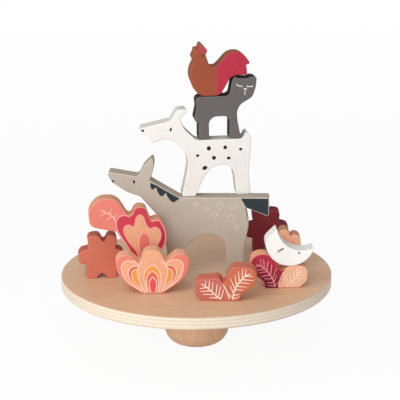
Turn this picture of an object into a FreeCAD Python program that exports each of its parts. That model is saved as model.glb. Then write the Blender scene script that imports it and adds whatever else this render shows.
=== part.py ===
import FreeCAD, Part
import math
import os
import re

import Sketcher

# A stacking balance game of painted plywood. A round board rests on a turned foot with a small
# flat underside. Flat figures stand on the board, and a donkey, a dog, a cat and a rooster stand
# on each other's backs. Origin: centre of the foot's underside, +Z up, -Y towards the viewer.
# Every figure is drawn in its own upright plane, across to the viewer's right and up from its
# feet, and is turned a few degrees about the vertical where it stands.

SIZES = {
    # board and turned foot
    "board_diameter": 200,
    "board_thickness": 9,
    "board_edge_round": 1.2,
    "foot_diameter": 48,
    "foot_height": 46.5,
    "foot_lower_round": 12,
    "foot_top_round": 0.8,
    # hidden dowel between board and foot
    "dowel_diameter": 10,
    "dowel_in_foot": 22,
    "dowel_in_board": 5.5,
    "dowel_chamfer": 0.8,
    "dowel_side_gap": 0.05,
    "dowel_end_gap": 0.3,
    # stock that all the figures are sawn from
    "figure_thickness": 13,
    "figure_edge_round": 0.9,
    "tip_round": 1.3,
    "toe_round": 1.5,
    # donkey
    "donkey_across": 0.2,
    "donkey_depth": 0,
    "donkey_turn": -2,
    "donkey_back": 58,
    "donkey_front_leg": 12,
    "donkey_hind_leg": 13,
    "donkey_arch_front": 9,
    "donkey_arch_width": 31,
    "donkey_arch_height": 30.5,
    "donkey_rump": 53.6,
    "donkey_tail_drop": 14.9,
    "donkey_nose": 63.6,
    "donkey_brow_rise": 19.4,
    "donkey_ear_rise": 30.6,
    # dog on the donkey's back
    "dog_across": -0.8,
    "dog_depth": 3,
    "dog_turn": 7,
    "dog_back": 42,
    "dog_front_paw": 10,
    "dog_hind_paw": 10.4,
    "dog_stride": 30.3,
    "dog_belly": 24.5,
    "dog_nose": 39.6,
    "dog_muzzle_rise": 10.4,
    "dog_ear_rise": 23.2,
    "dog_tail_rise": 5.8,
    # cat on the dog's back
    "cat_across": 1.8,
    "cat_depth": 3.6,
    "cat_turn": 7,
    "cat_back": 31.8,
    "cat_hind_paw": 7.8,
    "cat_stride": 14.5,
    "cat_front_paw": 8.7,
    "cat_belly": 17,
    "cat_rump": 3.2,
    "cat_face": 42.4,
    "cat_ear_rise": 14,
    # rooster on the cat's back
    "rooster_across": 7.6,
    "rooster_depth": 5.2,
    "rooster_turn": 9,
    "rooster_foot_front": 6.6,
    "rooster_foot_back": 9.8,
    "rooster_breast": 13.2,
    "rooster_back": 17.8,
    "rooster_tail_reach": 32.4,
    "rooster_tail_height": 17.4,
    "rooster_head_height": 39.2,
    "tail_over_ear_gap": 0.5,
    # tulip and leaf, sawn as one piece
    "tulip_across": -45.7,
    "tulip_depth": -21.5,
    "tulip_turn": 5,
    "tulip_height": 57.3,
    "tulip_shoulder_drop": 9.5,
    "tulip_leaf_rise": 6.9,
    "tulip_leaf_reach": 31.6,
    "tulip_reach": 24.2,
    "tulip_foot": 13,
    # six-lobed leaf, sawn twice
    "lobed_leaf_half_width": 16.6,
    "lobed_leaf_height": 33,
    "lobed_leaf_foot": 11.1,
    "rust_leaf_across": -69.7,
    "rust_leaf_depth": -9.8,
    "rust_leaf_turn": 6,
    "burgundy_leaf_across": 54.6,
    "burgundy_leaf_depth": 50.5,
    "burgundy_leaf_turn": 0,
    # open lotus
    "lotus_across": -30.9,
    "lotus_depth": -44.5,
    "lotus_turn": 3,
    "lotus_half_width": 27,
    "lotus_height": 32.2,
    "lotus_foot": 6.8,
    # two joined leaves, a wide pair in front and a narrower one that carries the moon
    "leaf_pair_foot": 13.6,
    "orange_pair_notch": 11.2,
    "orange_pair_tall_reach": 25.5,
    "orange_pair_tall_height": 25.3,
    "orange_pair_tall_shoulder": 18.1,
    "orange_pair_tall_round": 5,
    "orange_pair_low_reach": 18.5,
    "orange_pair_low_height": 17.2,
    "orange_pair_low_shoulder": 17.6,
    "orange_pair_low_round": 4.2,
    "red_pair_notch": 12.8,
    "red_pair_tall_reach": 24.2,
    "red_pair_tall_height": 25.8,
    "red_pair_tall_shoulder": 13,
    "red_pair_tall_round": 8,
    "red_pair_low_reach": 17.2,
    "red_pair_low_height": 17.4,
    "red_pair_low_shoulder": 11.5,
    "red_pair_low_round": 10,
    "orange_pair_across": 17.3,
    "orange_pair_depth": -60.7,
    "orange_pair_turn": -3,
    "red_pair_across": 62.4,
    "red_pair_depth": -34.4,
    "red_pair_turn": 3,
    # crescent moon lying on the two tops of the red leaf pair
    "moon_radius": 17.6,
    "moon_bite_radius": 18.2,
    "moon_bite_across": 8.7,
    "moon_bite_up": 11.8,
    "moon_horn_line": 19.6,
    "moon_heel_round": 6,
    "moon_tip_round": 0.7,
    "moon_edge_round": 0.5,
    "moon_rest_gap": 0.05,
    "moon_forward": 0.8,
    # small five-lobed flower
    "peach_flower_across": 64.9,
    "peach_flower_depth": 6.5,
    "peach_flower_turn": 0,
    "peach_flower_half_width": 12.9,
    "peach_flower_height": 30.8,
    "peach_flower_foot": 7,
}

doc = FreeCAD.newDocument("stacking_balance_game")
sheet = doc.addObject("Spreadsheet::Sheet", "sizes")
for row, (name, size) in enumerate(SIZES.items(), start=1):
    sheet.set(f"A{row}", name)
    sheet.set(f"B{row}", str(size))
    sheet.setAlias(f"B{row}", name)
doc.recompute()


def on_sheet(text):
    """The expression with each size's name pointing at the sheet."""
    return re.sub(r"[a-z_]+", lambda word: "sizes." + word[0] if word[0] in SIZES else word[0], str(text))


def value(text):
    return float(sheet.evalExpression(on_sheet(text)))


def bind(item, **expressions):
    """Tie properties of an object to the sheet."""
    for name, text in expressions.items():
        item.setExpression(name, on_sheet(text))


def new_body(name):
    body = doc.addObject("PartDesign::Body", name)
    body.Label = name
    return body


def new_sketch(body, name, role="XZ_Plane"):
    """An empty sketch on one of the body's own origin planes."""
    sketch = body.newObject("Sketcher::SketchObject", name)
    plane = next(item for item in body.Origin.OriginFeatures if item.Role == role)
    sketch.AttachmentSupport = (plane, [""])
    sketch.MapMode = "FlatFace"
    doc.recompute()
    return sketch


def corner_round(before, corner, after, radius):
    """Centre, two ends and turning side of the round that replaces a corner."""
    to_before = (before - corner).normalize()
    to_after = (after - corner).normalize()
    half_angle = to_before.getAngle(to_after) / 2
    run = radius / math.tan(half_angle)
    middle = (to_before + to_after).normalize()
    centre = corner + middle * (radius / math.sin(half_angle))
    turns_left = to_before.cross(to_after).z < 0
    return centre, corner + to_before * run, corner + to_after * run, turns_left


def corner_rounds(corners):
    """The round of each corner (across, up, radius). A sharp corner has none."""
    points = [FreeCAD.Vector(value(across), value(up), 0) for across, up, radius in corners]
    rounds = []
    for index, point in enumerate(points):
        radius = value(corners[index][2])
        after = points[(index + 1) % len(points)]
        rounds.append(corner_round(points[index - 1], point, after, radius) if radius else None)
    return points, rounds


def arc_of_round(centre, start, end, turns_left):
    first, last = (start, end) if turns_left else (end, start)
    circle = Part.Circle(centre, FreeCAD.Vector(0, 0, 1), (start - centre).Length)
    angles = [math.atan2(place.y - centre.y, place.x - centre.x) for place in (first, last)]
    return Part.ArcOfCircle(circle, *angles)


def draw_outline(sketch, corners):
    """A closed outline of straight runs and tangent rounds through corners (across, up, radius).

    A rounded corner is kept as a construction point, whose place is tied to the sheet. The two
    runs that meet there pass through it, and the round between them has the corner's radius.
    """
    points, rounds = corner_rounds(corners)
    count = len(corners)
    lines = []
    for index in range(count):
        start = rounds[index][2] if rounds[index] else points[index]
        after = (index + 1) % count
        end = rounds[after][1] if rounds[after] else points[after]
        lines.append(sketch.addGeometry(Part.LineSegment(start, end), False))

    rules = []
    tied = []
    for index, (point, turn, texts) in enumerate(zip(points, rounds, corners)):
        before, after = lines[index - 1], lines[index]
        dimensions = []
        if turn:
            arc = sketch.addGeometry(arc_of_round(*turn), False)
            mark = sketch.addGeometry(Part.Point(point), True)
            near_before, near_after = (1, 2) if turn[3] else (2, 1)
            rules.append(Sketcher.Constraint("Tangent", before, 2, arc, near_before))
            rules.append(Sketcher.Constraint("Tangent", arc, near_after, after, 1))
            rules.append(Sketcher.Constraint("PointOnObject", mark, 1, before))
            rules.append(Sketcher.Constraint("PointOnObject", mark, 1, after))
            radius = Sketcher.Constraint("Radius", arc, (turn[1] - turn[0]).Length)
        else:
            mark = after
            rules.append(Sketcher.Constraint("Coincident", before, 2, after, 1))
            radius = None
        across = Sketcher.Constraint("DistanceX", -1, 1, mark, 1, point.x)
        up = Sketcher.Constraint("DistanceY", -1, 1, mark, 1, point.y)
        for dimension, text in zip((across, up, radius), texts):
            if dimension:
                tied.append((len(rules), text))
                rules.append(dimension)
    sketch.addConstraint(rules)
    for place, text in tied:
        if isinstance(text, str):
            sketch.setExpression(f"Constraints[{place}]", on_sheet(text))


def draw_circle(sketch, radius, across="0", up="0"):
    """A full circle with its radius and centre tied to the sheet."""
    centre = FreeCAD.Vector(value(across), value(up), 0)
    circle = sketch.addGeometry(Part.Circle(centre, FreeCAD.Vector(0, 0, 1), value(radius)), False)
    dimensions = (
        (Sketcher.Constraint("Radius", circle, value(radius)), radius),
        (Sketcher.Constraint("DistanceX", -1, 1, circle, 3, centre.x), across),
        (Sketcher.Constraint("DistanceY", -1, 1, circle, 3, centre.y), up),
    )
    for dimension, text in dimensions:
        sketch.setExpression(f"Constraints[{sketch.addConstraint(dimension)}]", on_sheet(text))


def round_faces(body, base, thickness, radius):
    """Round the whole edge of both flat faces of an upright slab."""
    doc.recompute()
    half = value(thickness) / 2
    flat = [
        f"Face{number}"
        for number, face in enumerate(base.Shape.Faces, start=1)
        if abs(abs(face.CenterOfMass.y) - half) < 1e-4
    ]
    fillet = body.newObject("PartDesign::Fillet", f"{body.Name}_edges")
    fillet.Base = (base, flat)
    bind(fillet, Radius=radius)
    return fillet


def pad_figure(body, sketch):
    pad = body.newObject("PartDesign::Pad", f"{body.Name}_slab")
    pad.Profile = sketch
    pad.SideType = "Symmetric"
    bind(pad, Length="figure_thickness")
    return pad


def stand(body, across, depth, turn, height):
    """Place a figure: across and depth on the board, turned about the vertical."""
    body.Placement.Rotation = FreeCAD.Rotation(FreeCAD.Vector(0, 0, 1), 1)
    body.setExpression("Placement.Base.x", on_sheet(across))
    body.setExpression("Placement.Base.y", on_sheet(depth))
    body.setExpression("Placement.Base.z", on_sheet(height))
    body.setExpression("Placement.Rotation.Angle", on_sheet(f"({turn}) * 1 deg"))


def figure(name, corners, place, height):
    """A flat figure sawn from the stock, with rounded edges, standing where its sizes say."""
    body = new_body(name)
    sketch = new_sketch(body, f"{name}_outline")
    draw_outline(sketch, corners)
    pad = pad_figure(body, sketch)
    round_faces(body, pad, "figure_thickness", "figure_edge_round")
    stand(body, f"{place}_across", f"{place}_depth", f"{place}_turn", height)
    return body


def both_sides(right_half):
    """Corners of a symmetric outline from its right half, given from the foot to the top."""
    left_half = [(f"-({across})", up, radius) for across, up, radius in reversed(right_half)]
    return right_half + left_half


def mirrored(corners):
    return [(f"-({across})", up, radius) for across, up, radius in reversed(corners)]


BOARD_TOP = "foot_height + board_thickness"
DONKEY_BACK = f"{BOARD_TOP} + donkey_back"
DOG_BACK = f"{DONKEY_BACK} + dog_back"
CAT_BACK = f"{DOG_BACK} + cat_back"


def turn_about_upright(body, sketch):
    revolution = body.newObject("PartDesign::Revolution", f"{body.Name}_turned")
    revolution.Profile = sketch
    revolution.ReferenceAxis = (sketch, ["V_Axis"])
    revolution.Angle = 360
    return revolution


def board():
    """Round board with a blind hole for the dowel in its underside."""
    body = new_body("board")
    hole = "dowel_diameter / 2 + dowel_side_gap"
    hole_top = "dowel_in_board + dowel_end_gap"
    profile = [
        (0, hole_top, 0),
        (hole, hole_top, 0),
        (hole, 0, 0),
        ("board_diameter / 2", 0, "board_edge_round"),
        ("board_diameter / 2", "board_thickness", "board_edge_round"),
        (0, "board_thickness", 0),
    ]
    sketch = new_sketch(body, "board_profile")
    draw_outline(sketch, profile)
    turn_about_upright(body, sketch)
    stand(body, 0, 0, 0, "foot_height")
    return body


def foot():
    """Turned foot with a large lower round, a small flat underside and a hole for the dowel."""
    body = new_body("foot")
    hole = "dowel_diameter / 2 + dowel_side_gap"
    hole_bottom = "foot_height - dowel_in_foot - dowel_end_gap"
    profile = [
        (0, 0, 0),
        ("foot_diameter / 2", 0, "foot_lower_round"),
        ("foot_diameter / 2", "foot_height", "foot_top_round"),
        (hole, "foot_height", 0),
        (hole, hole_bottom, 0),
        (0, hole_bottom, 0),
    ]
    sketch = new_sketch(body, "foot_profile")
    draw_outline(sketch, profile)
    turn_about_upright(body, sketch)
    return body


def foot_dowel():
    """Chamfered dowel glued into the foot and the board."""
    body = new_body("foot_dowel")
    sketch = new_sketch(body, "foot_dowel_section", "XY_Plane")
    draw_circle(sketch, "dowel_diameter / 2")
    pad = body.newObject("PartDesign::Pad", "foot_dowel_rod")
    pad.Profile = sketch
    bind(pad, Length="dowel_in_foot + dowel_in_board")
    doc.recompute()
    ends = [
        f"Edge{number}"
        for number, edge in enumerate(pad.Shape.Edges, start=1)
        if isinstance(edge.Curve, Part.Circle)
    ]
    chamfer = body.newObject("PartDesign::Chamfer", "foot_dowel_ends")
    chamfer.Base = (pad, ends)
    bind(chamfer, Size="dowel_chamfer")
    stand(body, 0, 0, 0, "foot_height - dowel_in_foot")
    return body


def donkey():
    """Donkey facing left, with an arch between its legs and a flat back that carries the dog."""
    front = "-donkey_arch_front"
    hind = "donkey_arch_width - donkey_arch_front"
    outline = [
        (f"{front} - donkey_front_leg", 0, "toe_round"),
        (front, 0, "toe_round"),
        (front, "donkey_arch_height - 12", 9),
        (f"{front} + 12", "donkey_arch_height", 14),
        (hind, "donkey_arch_height - 1.5", 11),
        (hind, 0, "toe_round"),
        (f"{hind} + donkey_hind_leg", 0, "toe_round"),
        (f"{hind} + donkey_hind_leg + 0.3", "donkey_back - 38", 25),
        (f"{hind} + donkey_hind_leg + 4", "donkey_back - 20", 20),
        ("donkey_rump - 17.4", "donkey_back - 7.6", 0.8),
        ("donkey_rump - 0.2", "donkey_back - donkey_tail_drop", "tip_round"),
        ("donkey_rump", "donkey_back", "tip_round"),
        (f"{front} - 3", "donkey_back", 3),
        ("30.4 - donkey_nose", "donkey_back + 12.7", 1.5),
        ("33.7 - donkey_nose", "donkey_back + 22.5", 20),
        ("32.9 - donkey_nose", "donkey_back + donkey_ear_rise", "tip_round"),
        ("25.7 - donkey_nose", "donkey_back + donkey_ear_rise - 7.2", 14),
        ("22 - donkey_nose", "donkey_back + donkey_brow_rise - 3.8", 3),
        ("0.4 - donkey_nose", "donkey_back + donkey_brow_rise", 1.5),
        ("-donkey_nose", "donkey_back + donkey_brow_rise - 2.9", 3),
        ("2.9 - donkey_nose", "donkey_back + donkey_brow_rise - 8.3", 4),
        ("13.8 - donkey_nose", "donkey_back + 3.9", 20),
        ("23.2 - donkey_nose", "donkey_back + 0.6", 4),
        (f"{front} - donkey_front_leg - 5.5", "donkey_back - 15.5", 30),
        (f"{front} - donkey_front_leg - 0.6", 20, 40),
    ]
    return figure("donkey", outline, "donkey", BOARD_TOP)


def dog():
    """Spotted dog facing left, chin down, standing on the donkey's back."""
    outline = [
        ("-dog_front_paw", 0, "tip_round"),
        (0, 0, "tip_round"),
        (5.6, "dog_belly - 12", 25),
        (11.5, "dog_belly - 3", 10),
        ("dog_stride - 4", "dog_belly", 8),
        ("dog_stride - 1.2", "dog_belly - 12.5", 20),
        ("dog_stride", 0, "tip_round"),
        ("dog_stride + dog_hind_paw", 0, "tip_round"),
        ("dog_stride + dog_hind_paw - 1.6", "dog_back - 26", 40),
        ("dog_stride + dog_hind_paw - 0.2", "dog_back - 12", 30),
        ("dog_stride + dog_hind_paw + 0.3", "dog_back + 0.5", 7),
        ("dog_stride + 7.3", "dog_back + dog_tail_rise", "tip_round"),
        ("dog_stride + 4.5", "dog_back", 3.5),
        (1, "dog_back", 6),
        (-9, "dog_back + 10", 14),
        (-10.4, "dog_back + dog_ear_rise - 6.2", "tip_round"),
        (-5.6, "dog_back + dog_ear_rise - 1.9", 1.1),
        (-6.9, "dog_back + dog_ear_rise", 1.3),
        (-12.8, "dog_back + dog_ear_rise - 0.3", 4),
        (-17.4, "dog_back + dog_muzzle_rise + 4.6", 5),
        ("0.9 - dog_nose", "dog_back + dog_muzzle_rise", "tip_round"),
        ("-dog_nose", "dog_back + dog_muzzle_rise - 2.6", "tip_round"),
        ("5.6 - dog_nose", "dog_back + 4", 1.6),
        ("8.2 - dog_nose", "dog_back - 1.4", "tip_round"),
        (-18, "dog_back + 4", 14),
        (-4, "dog_back - 11.5", 18),
        (-6.5, "dog_back - 26", 25),
    ]
    return figure("dog", outline, "dog", DONKEY_BACK)


def cat():
    """Cat facing right, standing on the dog's back."""
    front = "cat_hind_paw + cat_stride"
    outline = [
        (0, 0, "tip_round"),
        ("cat_hind_paw", 0, "tip_round"),
        ("cat_hind_paw - 0.4", "cat_belly - 0.2", 6),
        (f"{front} + 0.2", "cat_belly", 4),
        (front, 0, "tip_round"),
        (f"{front} + cat_front_paw", 0, "tip_round"),
        (f"{front} + cat_front_paw - 2.7", "cat_back - 17.8", 18),
        (f"{front} + cat_front_paw - 3.2", "cat_back - 7.8", 10),
        ("cat_face - 3", "cat_back - 1.4", 7),
        ("cat_face - 0.6", "cat_back + 6.2", 12),
        ("cat_face", "cat_back + cat_ear_rise - 1.2", 1.6),
        ("cat_face - 4", "cat_back + cat_ear_rise - 0.4", 2),
        ("cat_face - 6.5", "cat_back + cat_ear_rise - 1.6", 2),
        ("cat_face - 13", "cat_back + cat_ear_rise - 1.4", 3),
        ("cat_face - 16.7", "cat_back + cat_ear_rise", "tip_round"),
        ("cat_face - 18.3", "cat_back + 9.5", 12),
        ("cat_face - 20", "cat_back", 3.5),
        ("0.6 - cat_rump", "cat_back", 3.5),
        ("1.8 - cat_rump", "cat_back - 7.8", 8),
        ("-cat_rump", "cat_back - 16.2", 3),
        ("1.8 - cat_rump", "cat_back - 19.2", 1.5),
        (0, "cat_back - 19.8", 0.8),
    ]
    return figure("cat", outline, "cat", DOG_BACK)


def rooster():
    """Rooster facing left on the cat's back, its tail just clear of the cat's ear."""
    under = "cat_ear_rise + tail_over_ear_gap"
    outline = [
        ("-rooster_foot_front", 0, 9),
        ("rooster_foot_back", 0, 6),
        ("rooster_foot_back + 7.7", f"{under} - 1.3", 5),
        ("rooster_foot_back + 12.2", under, 3),
        ("rooster_tail_reach - 2.6", under, "tip_round"),
        ("rooster_tail_reach - 3.6", f"{under} + 7.5", 0.8),
        ("rooster_tail_reach", f"{under} + 7.8", "tip_round"),
        ("rooster_tail_reach - 6.4", f"{under} + rooster_tail_height - 1", 9),
        ("rooster_tail_reach - 15.4", f"{under} + rooster_tail_height", 10),
        ("rooster_foot_back - 0.3", "rooster_back + 5.8", 8),
        (3.4, "rooster_back", 4),
        (0.9, "(rooster_back + rooster_head_height) / 2 - 2.9", 6),
        (-0.6, "rooster_head_height - 9", "tip_round"),
        (0.8, "rooster_head_height - 6.1", "tip_round"),
        (-4, "rooster_head_height", "tip_round"),
        (-5.8, "rooster_head_height - 4.9", 1),
        (-8.8, "rooster_head_height - 4.6", "tip_round"),
        (-8.4, "rooster_head_height - 7", 1),
        (-10.4, "rooster_head_height - 10.5", "tip_round"),
        (-8.8, "rooster_head_height - 13.8", 1.5),
        ("-rooster_breast", "rooster_head_height - 22.2", 14),
    ]
    return figure("rooster", outline, "rooster", CAT_BACK)


def red_flower():
    """Tulip with a leaf leaning out at the left, sawn as one piece."""
    shoulder = "tulip_height - tulip_shoulder_drop"
    leaf_top = "tulip_height + tulip_leaf_rise"
    outline = [
        (-5, 0, "toe_round"),
        ("tulip_foot", 0, 3),
        ("tulip_foot + 1.5", 12, 8),
        ("tulip_reach + 0.2", f"{shoulder} - 16.8", 5),
        ("tulip_reach", f"{shoulder} - 8.8", 14),
        ("tulip_reach - 4.2", f"{shoulder} - 0.2", 2.6),
        ("tulip_reach - 8.3", f"{shoulder} + 0.1", 2),
        ("tulip_reach - 11.3", f"{shoulder} - 1.6", 1.4),
        (9.3, "tulip_height - 0.2", 4.5),
        (1.7, "tulip_height", 4.5),
        (-1.4, "tulip_height - 9.7", 2.5),
        ("20.6 - tulip_leaf_reach", f"{leaf_top} - 0.2", 10),
        ("7.4 - tulip_leaf_reach", leaf_top, 11),
        ("-tulip_leaf_reach", f"{leaf_top} - 8.6", 11),
        ("0.6 - tulip_leaf_reach", f"{leaf_top} - 20.6", 6),
        ("12.3 - tulip_leaf_reach", f"{leaf_top} - 23.5", 8),
        (-11.9, f"{leaf_top} - 24.8", 2.5),
        (-2, "tulip_height - 34.3", 8),
        (-5, 6, 3),
    ]
    return figure("red_flower", outline, "tulip", BOARD_TOP)


def lobed_leaf_outline():
    """Leaf with two lobes on each side, two on top and a small notch between its feet."""
    outer = "lobed_leaf_half_width"
    top = "lobed_leaf_height"
    return [
        (0.3, 4.6, 1.2),
        ("lobed_leaf_foot - 7", 0, "tip_round"),
        ("lobed_leaf_foot", 0, "toe_round"),
        (f"{outer} - 5.8", 10.4, 1.2),
        (outer, 11.6, 4),
        (outer, f"{top} - 12.4", 5),
        (f"{outer} - 6.2", f"{top} - 11.2", 1.2),
        (f"{outer} - 4.1", f"{top} - 1", 4),
        (5.5, top, 3.5),
        (2.2, f"{top} - 6.4", 1.2),
        (-1.6, top, 3.5),
        (f"6.7 - {outer}", f"{top} - 1", 3.5),
        (f"7.4 - {outer}", f"{top} - 10.5", 1.2),
        (f"-{outer}", f"{top} - 12.2", 5),
        (f"-{outer}", 11.6, 4),
        (f"6 - {outer}", 10.4, 1.2),
        ("-lobed_leaf_foot", 0, "toe_round"),
        ("7 - lobed_leaf_foot", 0, "tip_round"),
    ]


def rust_leaf():
    return figure("rust_leaf", lobed_leaf_outline(), "rust_leaf", BOARD_TOP)


def burgundy_leaf():
    return figure("burgundy_leaf", mirrored(lobed_leaf_outline()), "burgundy_leaf", BOARD_TOP)


def lotus():
    """Broad open flower with a middle petal and two side petals."""
    right_half = [
        ("lotus_foot", 0, "toe_round"),
        ("lotus_half_width - 2.7", 12, 18),
        ("lotus_half_width", "lotus_height - 4.2", 6),
        ("lotus_half_width - 10.2", "lotus_height - 2.6", 6),
        (9.2, "lotus_height - 9.2", 1),
        (5, "lotus_height", 6),
    ]
    return figure("lotus", both_sides(right_half), "lotus", BOARD_TOP)


def leaf_pair_outline(pair):
    """A tall leaf at the right and a low one at the left, joined below a notch."""
    tall = f"{pair}_tall_reach"
    low = f"{pair}_low_reach"
    return [
        (f"5.6 - {low}", 0, 2),
        ("leaf_pair_foot", 0, "toe_round"),
        ("leaf_pair_foot + 0.6", 4.8, 3),
        (f"{tall} - 0.4", 12.4, 8),
        (f"{tall} - 0.5", f"{pair}_tall_height - 0.8", 7),
        (f"{tall} - {pair}_tall_shoulder", f"{pair}_tall_height", f"{pair}_tall_round"),
        (2, f"{pair}_notch", 1.3),
        (f"{pair}_low_shoulder - {low}", f"{pair}_low_height", f"{pair}_low_round"),
        (f"-{low}", f"{pair}_low_height - 2", 5),
        (f"0.7 - {low}", 4.6, 4),
    ]


def leaf_tops(pair):
    """The rounds of the pair's outline that something round on top of it touches."""
    outline = leaf_pair_outline(pair)
    heights = [up for across, up, radius in outline]
    rounds = corner_rounds(outline)[1]
    return [rounds[heights.index(f"{pair}_{leaf}_height")] for leaf in ("tall", "low")]


def orange_leaf_pair():
    return figure("orange_leaf_pair", leaf_pair_outline("orange_pair"), "orange_pair", BOARD_TOP)


def red_leaf_pair():
    return figure("red_leaf_pair", mirrored(leaf_pair_outline("red_pair")), "red_pair", BOARD_TOP)


def resting_centre(first, second, first_reach, second_reach):
    """The upper point that lies at the two given distances from two points."""
    span = second - first
    along = (first_reach**2 - second_reach**2 + span.Length**2) / (2 * span.Length)
    rise = math.sqrt(first_reach**2 - along**2)
    direction = span / span.Length
    return first + direction * along + FreeCAD.Vector(-direction.y, direction.x, 0) * rise


def cut_through(body, sketch, name):
    pocket = body.newObject("PartDesign::Pocket", name)
    pocket.Profile = sketch
    pocket.Type = "ThroughAll"
    pocket.SideType = "Symmetric"
    doc.recompute()
    return pocket


def sharp_corners(shape):
    """Names of the straight edges that run through a slab, from left to right."""
    through = [
        (edge.CenterOfMass.x, f"Edge{number}")
        for number, edge in enumerate(shape.Edges, start=1)
        if isinstance(edge.Curve, Part.Line) and abs(edge.tangentAt(edge.FirstParameter).y) > 0.99
    ]
    return [name for across, name in sorted(through)]


def round_corners(body, base, name, corners, radius):
    fillet = body.newObject("PartDesign::Fillet", name)
    fillet.Base = (base, corners)
    bind(fillet, Radius=radius)
    doc.recompute()
    return fillet


def moon():
    """Crescent lying on the two rounded tops of the red leaf pair.

    A disc with a round bite. A slanting cut trims the left horn, which leaves a blunt heel at
    the far left and two tips.
    """
    body = new_body("moon")
    disc = new_sketch(body, "moon_disc_outline")
    draw_circle(disc, "moon_radius")
    pad_figure(body, disc)

    bite = new_sketch(body, "moon_bite_outline")
    draw_circle(bite, "moon_bite_radius", "moon_bite_across", "moon_bite_up")
    cut_through(body, bite, "moon_bite")

    horn = new_sketch(body, "moon_horn_outline")
    beyond = "moon_radius + 2"
    draw_outline(horn, [
        (f"-({beyond})", f"moon_horn_line - ({beyond})", 0),
        (f"({beyond}) - moon_horn_line", beyond, 0),
        (f"-({beyond})", beyond, 0),
    ])
    crescent = cut_through(body, horn, "moon_horn")

    tips = round_corners(body, crescent, "moon_tips", sharp_corners(crescent.Shape)[1:], "moon_tip_round")
    heel = round_corners(body, tips, "moon_heel", sharp_corners(tips.Shape)[:1], "moon_heel_round")
    round_faces(body, heel, "figure_thickness", "moon_edge_round")

    tops = leaf_tops("red_pair")
    reach = value("moon_radius + moon_rest_gap")
    centres = [FreeCAD.Vector(-centre.x, centre.y, 0) for centre, start, end, turns_left in tops]
    reaches = [(start - centre).Length + reach for centre, start, end, turns_left in tops]
    seat = resting_centre(*centres, *reaches)
    turn = FreeCAD.Rotation(FreeCAD.Vector(0, 0, 1), value("red_pair_turn"))
    pair = FreeCAD.Vector(value("red_pair_across"), value("red_pair_depth"), value(BOARD_TOP))
    offset = turn.multVec(FreeCAD.Vector(seat.x, -value("moon_forward"), seat.y))
    body.Placement = FreeCAD.Placement(pair + offset, turn)
    return body


def peach_flower():
    """Small flower with a middle petal between two side petals."""
    right_half = [
        ("peach_flower_foot", 0, 2),
        ("peach_flower_half_width", 13, 10),
        ("peach_flower_half_width - 0.7", "peach_flower_height - 5.2", 4.5),
        ("peach_flower_half_width - 5.7", "peach_flower_height - 3.4", 2),
        ("peach_flower_half_width - 8.1", "peach_flower_height - 6", 1),
        (3.1, "peach_flower_height", 3.6),
    ]
    return figure("peach_flower", both_sides(right_half), "peach_flower", BOARD_TOP)


def write_parts(bodies):
    """Check every object, then write each piece to its own file."""
    doc.recompute()
    for item in doc.Objects:
        if "Invalid" in item.State or "Error" in item.State:
            raise RuntimeError(f"{item.Label} failed: {item.State}")
    for body in bodies:
        if body.Shape.isNull() or not body.Shape.isValid() or len(body.Shape.Solids) != 1:
            raise RuntimeError(f"{body.Label} is not one sound solid")
    os.makedirs("parts", exist_ok=True)
    for body in bodies:
        body.Shape.exportStep(f"parts/{body.Label}.step")
        print(f"{body.Label}: {body.Shape.Volume:.1f} mm3")


write_parts([
    board(),
    foot(),
    foot_dowel(),
    donkey(),
    dog(),
    cat(),
    rooster(),
    red_flower(),
    rust_leaf(),
    lotus(),
    orange_leaf_pair(),
    red_leaf_pair(),
    moon(),
    burgundy_leaf(),
    peach_flower(),
])
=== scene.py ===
import math

import bmesh
import bpy
from mathutils import Matrix, Vector


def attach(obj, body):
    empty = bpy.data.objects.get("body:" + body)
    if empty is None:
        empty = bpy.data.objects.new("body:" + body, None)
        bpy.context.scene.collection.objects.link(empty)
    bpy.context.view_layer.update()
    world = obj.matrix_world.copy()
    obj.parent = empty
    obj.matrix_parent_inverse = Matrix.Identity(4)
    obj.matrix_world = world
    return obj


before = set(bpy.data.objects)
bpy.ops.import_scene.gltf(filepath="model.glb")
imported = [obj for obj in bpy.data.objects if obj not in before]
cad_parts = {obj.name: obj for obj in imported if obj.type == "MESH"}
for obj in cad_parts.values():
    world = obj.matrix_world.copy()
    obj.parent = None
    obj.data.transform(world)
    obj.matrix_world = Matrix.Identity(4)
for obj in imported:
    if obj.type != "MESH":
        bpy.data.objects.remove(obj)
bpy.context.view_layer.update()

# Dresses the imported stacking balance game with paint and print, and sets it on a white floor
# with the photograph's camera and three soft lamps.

MM = 0.001

# Points closer than this are one point (m).
SAME_PLACE = 0.0001 * MM

# Where each figure stands: across, depth (mm), turn (degrees) and height of its feet (mm).
# These repeat the places in the CAD source.
BOARD_TOP = 55.5
STANDS = {
    "donkey": (0.2, 0.0, -2.0, BOARD_TOP),
    "dog": (-0.8, 3.0, 7.0, 113.5),
    "cat": (1.8, 3.6, 7.0, 155.5),
    "rooster": (7.6, 5.2, 9.0, 187.3),
    "red_flower": (-45.7, -21.5, 5.0, BOARD_TOP),
    "rust_leaf": (-69.7, -9.8, 6.0, BOARD_TOP),
    "burgundy_leaf": (54.6, 50.5, 0.0, BOARD_TOP),
    "lotus": (-30.9, -44.5, 3.0, BOARD_TOP),
    "orange_leaf_pair": (17.3, -60.7, -3.0, BOARD_TOP),
    "red_leaf_pair": (62.4, -34.4, 3.0, BOARD_TOP),
    "peach_flower": (64.9, 6.5, 0.0, BOARD_TOP),
    "moon": (62.4, -35.2, 3.0, BOARD_TOP),
}
HALF_THICKNESS = 6.5

# The board is this thick and has this many plies. Between these two depths below a face, its
# rim turns from the outer veneer to the plies (mm).
BOARD_THICKNESS = 9.0
PLIES = 7
VENEER = (0.35, 0.55)

# One coat of ink is this thick, and each ink sinks this far into the wood (mm).
COAT = 0.05
SUNK = 0.02

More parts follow.
